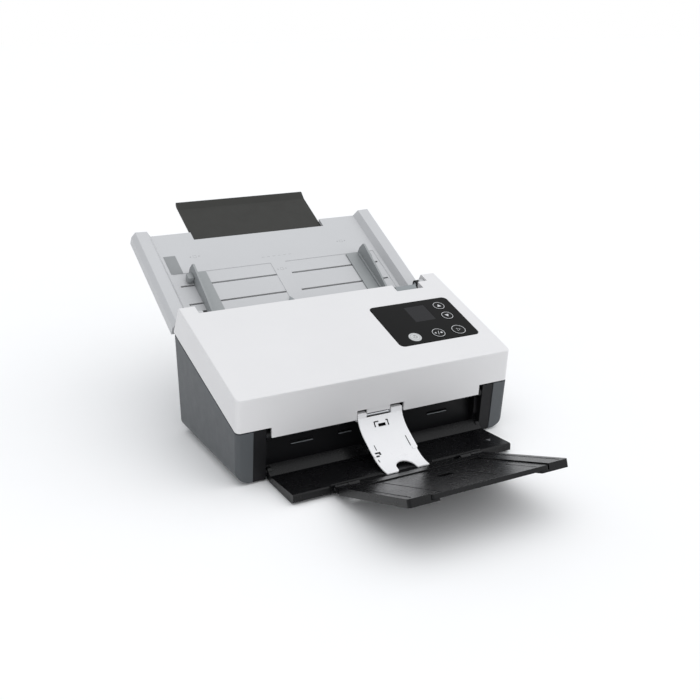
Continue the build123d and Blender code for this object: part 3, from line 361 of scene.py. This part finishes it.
def circuit_board(slot, colour):
    """Coated board with lighter copper traces under the green and bright solder dots."""
    made, shader = blank(slot)
    wire = made.node_tree.links.new
    spot = add(made, "TexCoord").outputs["Object"]
    traces = add(
        made, "TexBrick", {"offset": 0.37, "offset_frequency": 2, "squash": 0.6}, Vector=spot, Scale=140.0,
        Mortar_Size=0.07, Brick_Width=1.7, Row_Height=0.4, Color1=(*colour, 1),
        Color2=(*shade(colour, 0.25), 1), Mortar=(0.12, 0.36, 0.14, 1),
    )
    dots = add(made, "TexVoronoi", Vector=spot, Scale=260.0).outputs["Distance"]
    solder = spread(made, dots, 1.0, 0.0, start=0.16, end=0.2)
    tin = between(made, solder, (0, 0, 0), (1, 1, 1), start=0.45, end=0.55)
    mixed = add(made, "MixRGB", Fac=tin, Color1=traces.outputs["Color"], Color2=(0.62, 0.62, 0.6, 1))
    wire(mixed.outputs["Color"], shader.inputs["Base Color"])
    wire(solder, shader.inputs["Metallic"])
    set_fixed(shader, Roughness=0.35)
    bump = add(made, "Bump", Strength=0.5, Distance=0.05 * MM, Height=traces.outputs["Fac"])
    wire(bump.outputs["Normal"], shader.inputs["Normal"])
    FINISH[slot] = made


def sensor_glass(slot, colour):
    """Clear strip with faint wiping marks along it."""
    made, shader = blank(slot)
    wire = made.node_tree.links.new
    marks = noise(made, 60.0, detail=6.0, stretch=(0.2, 3, 3))
    wire(between(made, marks, shade(colour, -0.04), shade(colour, 0.04)), shader.inputs["Base Color"])
    wire(spread(made, marks, 0.02, 0.09), shader.inputs["Roughness"])
    set_fixed(shader, Transmission_Weight=0.9, IOR=1.5)
    FINISH[slot] = made


def display_glass(slot, colour):
    """Dark screen behind a smooth pane, with its faint grid of cells."""
    made, shader = blank(slot)
    wire = made.node_tree.links.new
    spot = add(made, "TexCoord").outputs["Object"]
    cells = add(
        made, "TexBrick", {"offset": 0.0, "squash": 1.0}, Vector=spot, Scale=900.0, Mortar_Size=0.08,
        Brick_Width=0.5, Row_Height=0.5, Color1=(*colour, 1), Color2=(*shade(colour, 0.12), 1),
        Mortar=(*shade(colour, -0.25), 1),
    )
    wire(cells.outputs["Color"], shader.inputs["Base Color"])
    wire(spread(made, noise(made, 40.0), 0.12, 0.2), shader.inputs["Roughness"])
    set_fixed(shader, Specular_IOR_Level=0.1)
    FINISH[slot] = made


# ------------------------------------------------------------------ settings
def colour_setting(name, description, slot=None, default=None):
    return FloatVectorProperty(
        name=name, description=description, subtype="COLOR", size=3, min=0.0, max=1.0,
        default=default or SLOT_COLOUR[slot],
    )


class ScannerColours(bpy.types.PropertyGroup):
    """Colours of the scanner's mouldings and fittings."""

    cover: colour_setting("Cover", "Satin shell over the feeder", default=(0.72, 0.715, 0.72))
    base: colour_setting("Base", "Side panels, back and underside", "charcoal")
    inner: colour_setting("Inner frame", "Columns, paper path and exit cavity", default=(0.008, 0.008, 0.009))
    panel: colour_setting("Control panel", "Gloss plate round the keys", default=(0.0035, 0.0035, 0.0035))
    screen: colour_setting("Screen", "Unlit display", default=(0.011, 0.011, 0.013))
    keys: colour_setting("Keys", "Caps of the four dark keys", default=(0.0045, 0.0045, 0.0045))
    power_key: colour_setting("Power key", "Cap of the power key", default=(0.52, 0.53, 0.53))
    marks: colour_setting("Key marks", "Rings and signs on the keys", default=(0.62, 0.63, 0.64))
    tray: colour_setting("Input tray", "Plate and rails of the input tray", default=(0.53, 0.535, 0.545))
    guides: colour_setting("Paper guides", "Sliding side guides", default=(0.3, 0.315, 0.32))
    lever: colour_setting("Release lever", "Lever that frees the cover", "lever_grey")
    extension: colour_setting("Tray extension", "Pull-out end of the input tray", default=(0.03, 0.03, 0.027))
    output: colour_setting("Output tray", "Both sections of the output tray", default=(0.004, 0.004, 0.0045))
    flap: colour_setting("Exit flap", "White flap that lays the sheets down", default=(0.86, 0.86, 0.87))
    floor: colour_setting("Floor", "Surface the scanner stands on", default=(0.96, 0.96, 0.96))


class ScannerSizes(bpy.types.PropertyGroup):
    """Sizes of the fine details."""

    edge: FloatProperty(
        name="Edge rounding", description="Rounding of the large mouldings' edges",
        default=0.0005, min=0.0001, max=0.001, unit="LENGTH",
    )
    fine_edge: FloatProperty(
        name="Fine edge rounding", description="Rounding of the small mouldings' edges",
        default=0.0003, min=0.0001, max=0.0006, unit="LENGTH",
    )
    comb_teeth: IntProperty(
        name="Comb teeth", description="Teeth under each half of the cover's front edge",
        default=20, min=6, max=40,
    )
    ring_line: FloatProperty(
        name="Ring line", description="Width of the ring printed on a key",
        default=0.0006, min=0.0002, max=0.0012, unit="LENGTH",
    )
    floor: FloatProperty(
        name="Floor", description="Length of the floor's sides",
        default=30.0, min=2.0, max=60.0, unit="LENGTH",
    )


# ------------------------------------------------------------------ operators
class SCANNER_OT_finishes(bpy.types.Operator):
    """Make every finish and give each frame node the finish of its slot"""

    bl_idname = "scanner.finishes"
    bl_label = "Finishes"

    def execute(self, context):
        c = context.scene.scanner_colours
        moulded("white_shell", tuple(c.cover), 0.34, specular=0.45, mottle=0.012, depth=0.012)
        moulded("charcoal", tuple(c.base), 0.46, specular=0.35, mottle=0.06, grain=1500.0, depth=0.05)
        moulded("black_frame", tuple(c.inner), 0.42, specular=0.2, mottle=0.1, grain=1500.0, depth=0.04)
        moulded("gloss_black", tuple(c.panel), 0.14, specular=0.05, mottle=0.04, gloss=0.03, depth=0.0)
        moulded("key_black", tuple(c.keys), 0.18, specular=0.06, mottle=0.05, gloss=0.03, depth=0.002)
        moulded("key_grey", tuple(c.power_key), 0.3, mottle=0.04, depth=0.01)
        moulded("key_mark", tuple(c.marks), 0.45, mottle=0.05, depth=0.004)
        # dark grey for printed signs; the same finish is painted in the power key's groove as its shade
        moulded("dark_print_and_groove_shade", (0.1, 0.1, 0.105), 0.45, mottle=0.05, depth=0.004)
        # lever grey; the same finish paints the highlight strips along the exit slots' lower edges
        moulded("lever_grey", tuple(c.lever), 0.42, mottle=0.03, depth=0.03)
        moulded("tray_grey", tuple(c.tray), 0.4, specular=0.42, mottle=0.014, depth=0.02)
        moulded("tray_mark", shade(c.tray, -0.45), 0.45, specular=0.4, mottle=0.03, depth=0.006)
        moulded("guide_grey", tuple(c.guides), 0.4, specular=0.45, mottle=0.03, depth=0.02)
        moulded("extension_dark", tuple(c.extension), 0.5, specular=0.22, mottle=0.06, depth=0.04)
        moulded("output_black", tuple(c.output), 0.27, specular=0.24, mottle=0.05, gloss=0.015, depth=0.004)
        moulded("flap_white", tuple(c.flap), 0.3, specular=0.45, mottle=0.01, depth=0.008)
        moulded("gear_nylon", SLOT_COLOUR["gear_nylon"], 0.38, mottle=0.05, grain=900.0, depth=0.02)
        moulded("sensor_body", SLOT_COLOUR["sensor_body"], 0.5, mottle=0.1, depth=0.04)
        moulded("label_grey", (0.27, 0.28, 0.285), 0.55, specular=0.3, mottle=0.05, depth=0.006)
        moulded("rating_label", (0.42, 0.42, 0.41), 0.4, specular=0.4, mottle=0.04, depth=0.004)
        rubbery("rubber", SLOT_COLOUR["rubber"])
        rubbery("grey_rubber", SLOT_COLOUR["grey_rubber"], ground=600.0)
        drawn_metal("steel", SLOT_COLOUR["steel"], 0.28, (0.02, 1, 1))
        drawn_metal("motor_can", SLOT_COLOUR["motor_can"], 0.34, (1, 0.05, 1))
        circuit_board("board_green", SLOT_COLOUR["board_green"])
        sensor_glass("clear_glass", SLOT_COLOUR["clear_glass"])
        display_glass("display", tuple(c.screen))
        for node, shown in frame["nodes"].items():
            shown.data.materials.clear()
            shown.data.materials.append(FINISH[SLOT_OF[node]])
        return {"FINISHED"}


class SCANNER_OT_casing(bpy.types.Operator):
    """Round the edges of the cover, side panels, front frame and back"""

    bl_idname = "scanner.casing"
    bl_label = "Casing"

    def execute(self, context):
        sizes = context.scene.scanner_sizes
        for node in ("cover_shell", "side_panel_left", "side_panel_right", "front_frame", "rear_panel"):
            moulding(node, sizes.edge)
        for node in ("release_lever", "input_chute"):
            moulding(node, sizes.fine_edge)
        return {"FINISHED"}


class SCANNER_OT_key_marks(bpy.types.Operator):
    """Add the rings and signs on the five keys, and the dark ring painted as the shade in the power key's
    groove
    """

    bl_idname = "scanner.key_marks"
    bl_label = "Key marks"

    def execute(self, context):
        line = context.scene.scanner_sizes.ring_line / MM
        signs = {name: [] for name in KEYS}
        for name in ("key_up", "key_down", "key_scan", "key_stop"):
            x, y, radius = KEYS[name]
            signs[name].append(hoop(LID, x, y, KEY_TOP, radius - KEY_RIM - line / 2, line))
        x, y, _ = KEYS["key_up"]
        signs["key_up"].append(disc(LID, x, y - 0.5, 2.9, KEY_PRINT, sides=3, soft=0.05))
        x, y, _ = KEYS["key_down"]
        signs["key_down"].append(disc(LID, x, y + 0.5, 2.9, KEY_PRINT, sides=3, turn=pi, soft=0.05))
        x, y, _ = KEYS["key_scan"]
        signs["key_scan"].append(hoop(LID, x - 0.4, y, KEY_TOP, 2.6, 0.6, sides=3, rise=0.35))
        x, y, _ = KEYS["key_stop"]
        signs["key_stop"] += [
            disc(LID, x + 3.4, y - 0.4, 1.3, KEY_PRINT, sides=32),
            disc(LID, x - 3.5, y + 0.3, 1.5, KEY_PRINT, sides=3, turn=radians(90), soft=0.04),
            block(LID, (x - 0.25, x + 0.25), (y - 3.0, y + 3.0), KEY_PRINT, turn=radians(-22)),
        ]
        for name, shapes in signs.items():
            if shapes:
                place(joined(shapes), name + "_marks", name, "key_grey", "key_mark")
        x, y, radius = KEYS["key_power"]
        sign = arc(LID, x, y, KEY_PRINT[0], 2.2, 0.55, 0.12, radians(296), turn=radians(122))
        bar = block(LID, (x - 0.28, x + 0.28), (y + 0.9, y + 3.1), KEY_PRINT)
        place(joined([sign, bar]), "key_power_sign", "key_power", "key_grey", "dark_print_and_groove_shade")
        # dark ring painted where the power key's groove lies: painted shade of the groove
        groove_shade = hoop(LID, x, y, KEY_TOP, radius - 1.9, 0.25)
        place(groove_shade, "key_power_groove_shade", "key_power", "key_grey", "dark_print_and_groove_shade")
        return {"FINISHED"}


class SCANNER_OT_input_tray(bpy.types.Operator):
    """Round the input tray's mouldings and add its guide tabs, marks and grey pad"""

    bl_idname = "scanner.input_tray"
    bl_label = "Input tray"

    def execute(self, context):
        sizes = context.scene.scanner_sizes
        for node in ("input_tray", "tray_extension", "tray_underside"):
            moulding(node, sizes.edge)
        for node in ("guide_left", "guide_right"):
            moulding(node, sizes.fine_edge)
        for name, hand in GUIDES:
            # squeeze tab outside the fence
            across = sorted((hand * 110.9, hand * 118.6))
            tab = block(TRAY, across, (150.0, 159.5), (1.1, 9.0), soft=1.6)
            place(tab, name + "_tab", name, "guide_grey")
            # long rib along the foot of the fence's inner face
            across = sorted((hand * 106.4, hand * 108.8))
            rib = block(TRAY, across, (95.0, 163.0), (0.9, 3.6), soft=0.8)
            place(rib, name + "_rib", name, "guide_grey")
        pad = block(TRAY, (-131.4, -117.2), (168.9, 199.2), (0.0, 0.25), soft=0.1)
        place(pad, "tray_pad", "input_tray", "tray_grey", "label_grey")
        marks = []
        for x, s in TRAY_MARKS:
            marks.append(hoop(TRAY, x, s, 0.0, 2.6, 0.4, sides=4, turn=pi / 4, rise=0.3))
            for way in (-1, 1):
                marks.append(disc(TRAY, x + way * 5.2, s, 1.1, (-0.1, 0.06), sides=3, turn=way * pi / -2))
        for x in TRAY_DASHES:
            marks.append(block(TRAY, (x, x + DASH), (179.6, 179.95), (-0.1, 0.04)))
        place(joined(marks), "tray_size_marks", "input_tray", "tray_grey", "tray_mark")
        middle = disc(TRAY, -9.0, 105.0, 4.6, (0.0, 0.8), sides=3, soft=0.15)
        place(middle, "tray_centre_mark", "input_tray", "tray_grey", "lever_grey")
        return {"FINISHED"}


class SCANNER_OT_output_tray(bpy.types.Operator):
    """Round the output tray's sections and add the side ribs and the small arrow"""

    bl_idname = "scanner.output_tray"
    bl_label = "Output tray"

    def execute(self, context):
        sizes = context.scene.scanner_sizes
        for node in ("output_tray", "output_extension"):
            moulding(node, sizes.edge)
        for node in ("output_leaf", "paper_stopper"):
            moulding(node, sizes.fine_edge)
        ribs = []
        for x in (-78.0, 78.0):
            ribs.append(block(OUTFEED, (x - 0.4, x + 0.4), (-132.0, -16.0), (2.4, 2.75), soft=0.12))
        place(joined(ribs), "output_extension_ribs", "output_extension", "output_black")
        arrow = disc(LEVEL, 111.0, -34.0, 3.2, (9.6, 9.95), sides=3, turn=pi, soft=0.1)
        place(arrow, "output_tray_arrow", "output_tray", "output_black", "dark_print_and_groove_shade")
        return {"FINISHED"}


# dark slits of the exit flap: x, the two depths, half width
FLAP_SLITS = (
    (-9.2, (-4.8, -1.6), 0.5),            # bracket round the window
    (6.2, (-5.0, -1.6), 0.5),
    (-6.9, (-1.85, -1.4), 2.5),
    (5.2, (-1.85, -1.4), 0.9),
    (18.4, (-28.0, -17.3), 0.35),         # along the right edge
    (-19.8, (-25.5, -20.3), 0.3),         # along the left edge, with a hook round its boss
    (-20.1, (-29.0, -27.6), 2.9),
    (-18.1, (-30.6, -29.0), 0.9),
    (-21.6, (-32.4, -31.0), 1.7),
    (-23.5, (-38.8, -35.8), 0.25),
)


def flap_strip(x, depth, half_width, thickness=0.25):
    """Thin strip lying on the flap between two depths, one block for each bend it crosses."""
    strips = []
    for (y1, z1), (y2, z2) in zip(FLAP_BEND, FLAP_BEND[1:]):
        near, far = max(depth[0], y2), min(depth[1], y1)
        if far - near < 0.05:
            continue
        slope = Slope(y2, z2, atan((z1 - z2) / (y1 - y2)))
        stretch = ((y1 - y2) ** 2 + (z1 - z2) ** 2) ** 0.5 / (y1 - y2)
        span = ((near - y2) * stretch, (far - y2) * stretch)
        strips.append(block(slope, (x - half_width, x + half_width), span, (-0.3, thickness)))
    return strips


class SCANNER_OT_exit_flap(bpy.types.Operator):
    """Round the exit flap and add the dark slits and small bosses on it"""

    bl_idname = "scanner.exit_flap"
    bl_label = "Exit flap"

    def execute(self, context):
        moulding("exit_flap", context.scene.scanner_sizes.edge)
        slits = []
        for x, depth, half_width in FLAP_SLITS:
            slits += flap_strip(x, depth, half_width)
        place(joined(slits), "exit_flap_slits", "exit_flap", "black_frame")
        bosses = flap_strip(-25.4, (-32.6, -29.6), 1.1, thickness=0.5)
        bosses += flap_strip(19.9, (-32.4, -29.0), 1.3, thickness=0.5)
        place(joined(bosses), "exit_flap_bosses", "exit_flap", "flap_white")
        return {"FINISHED"}


class SCANNER_OT_exit_comb(bpy.types.Operator):
    """Add the comb under the cover's front edge and light-grey strips painted along the exit slots' lower
    edges as their highlight
    """

    bl_idname = "scanner.exit_comb"
    bl_label = "Exit comb"

    def execute(self, context):
        count = context.scene.scanner_sizes.comb_teeth
        teeth = []
        for low, high in ((-118.0, -31.0), (31.0, 118.0)):
            pitch = (high - low) / count
            for i in range(count):
                x = low + pitch * (i + 0.5)
                teeth.append(block(LEVEL, (x - 1.1, x + 1.1), (1.5, 3.1), (45.4, 47.3), soft=0.3))
        place(joined(teeth), "cover_comb", "cover", "black_frame")
        # light-grey strips along the lower edges of the exit slots: painted highlight where light catches the
        # slot edges
        slot_highlight_strips = []
        for x0, x1 in ((-92.5, -68.0), (-39.0, -24.0), (24.0, 39.0), (68.0, 92.5)):
            slot_highlight_strips.append(block(LEVEL, (x0, x1), (18.9, 20.1), (27.4, 28.1), soft=0.2))
        place(joined(slot_highlight_strips), "exit_slot_painted_highlights", "base", "black_frame", "lever_grey")
        return {"FINISHED"}


class SCANNER_OT_rear_details(bpy.types.Operator):
    """Add the blank rating plate on the back"""

    bl_idname = "scanner.rear_details"
    bl_label = "Rear details"

    def execute(self, context):
        plate = block(REAR, (-124.0, -64.0), (16.0, 46.0), (-0.25, 0.0), soft=0.08)
        place(plate, "rating_plate", "base", "charcoal", "rating_label")
        return {"FINISHED"}


class SCANNER_OT_stage(bpy.types.Operator):
    """Add the floor, the soft lights and the camera"""

    bl_idname = "scanner.stage"
    bl_label = "Stage"

    def execute(self, context):
        scene = context.scene
        clear()
        bpy.ops.mesh.primitive_plane_add(size=scene.scanner_sizes.floor, location=(0, 0, 0))
        floor = bpy.context.object
        floor.name = "floor"
        paint = tuple(scene.scanner_colours.floor)
        moulded("floor_paint", paint, 0.9, specular=0.05, mottle=0.004, depth=0.0)
        floor.data.materials.append(FINISH["floor_paint"])

        world = bpy.data.worlds.new("studio")
        scene.world = world
        world.use_nodes = True
        nodes, links = world.node_tree.nodes, world.node_tree.links
        backdrop = nodes["Background"]
        backdrop.inputs["Color"].default_value = (1, 1, 1, 1)
        backdrop.inputs["Strength"].default_value = 1.0
        dome = nodes.new("ShaderNodeBackground")
        dome.inputs["Color"].default_value = (0.95, 0.97, 1.0, 1)
        dome.inputs["Strength"].default_value = 0.68
        seen = nodes.new("ShaderNodeLightPath").outputs["Is Camera Ray"]
        mix = nodes.new("ShaderNodeMixShader")
        links.new(seen, mix.inputs[0])
        links.new(dome.outputs[0], mix.inputs[1])
        links.new(backdrop.outputs[0], mix.inputs[2])
        links.new(mix.outputs[0], nodes["World Output"].inputs["Surface"])

        key = bpy.data.lights.new("key", "SUN")
        key.energy = 1.45
        key.angle = radians(115)
        key_at = bpy.data.objects.new("key", key)
        key_at.rotation_euler = Vector(LIGHT_FROM).to_track_quat("Z", "Y").to_euler()
        scene.collection.objects.link(key_at)

        lens = bpy.data.cameras.new("camera")
        lens.lens = CAMERA_LENS
        lens.sensor_width = CAMERA_SENSOR
        camera = bpy.data.objects.new("camera", lens)
        camera.location = CAMERA_AT
        camera.rotation_euler = CAMERA_TURN
        scene.collection.objects.link(camera)
        scene.camera = camera
        scene.view_settings.view_transform = "Standard"
        scene.view_settings.look = "None"
        return {"FINISHED"}


class SCANNER_PT_panel(bpy.types.Panel):
    """Settings and steps of the document scanner"""

    bl_idname = "SCANNER_PT_panel"
    bl_label = "Document scanner"
    bl_space_type = "VIEW_3D"
    bl_region_type = "UI"
    bl_category = "Scanner"

    def draw(self, context):
        for group in (context.scene.scanner_colours, context.scene.scanner_sizes):
            box = self.layout.box()
            for name in group.__annotations__:
                box.prop(group, name)
        for step in STEPS:
            self.layout.operator(step.bl_idname)


STEPS = (
    SCANNER_OT_finishes,
    SCANNER_OT_stage,
    SCANNER_OT_casing,
    SCANNER_OT_key_marks,
    SCANNER_OT_input_tray,
    SCANNER_OT_output_tray,
    SCANNER_OT_exit_flap,
    SCANNER_OT_exit_comb,
    SCANNER_OT_rear_details,
)
CLASSES = (ScannerColours, ScannerSizes, *STEPS, SCANNER_PT_panel)


def register():
    for cls in CLASSES:
        bpy.utils.register_class(cls)
    bpy.types.Scene.scanner_colours = PointerProperty(type=ScannerColours)
    bpy.types.Scene.scanner_sizes = PointerProperty(type=ScannerSizes)


def unregister():
    del bpy.types.Scene.scanner_sizes
    del bpy.types.Scene.scanner_colours
    for cls in reversed(CLASSES):
        bpy.utils.unregister_class(cls)


def main():
    register()
    for step in STEPS:
        family, name = step.bl_idname.split(".")
        getattr(getattr(bpy.ops, family), name)()


if __name__ == "__main__":
    main()
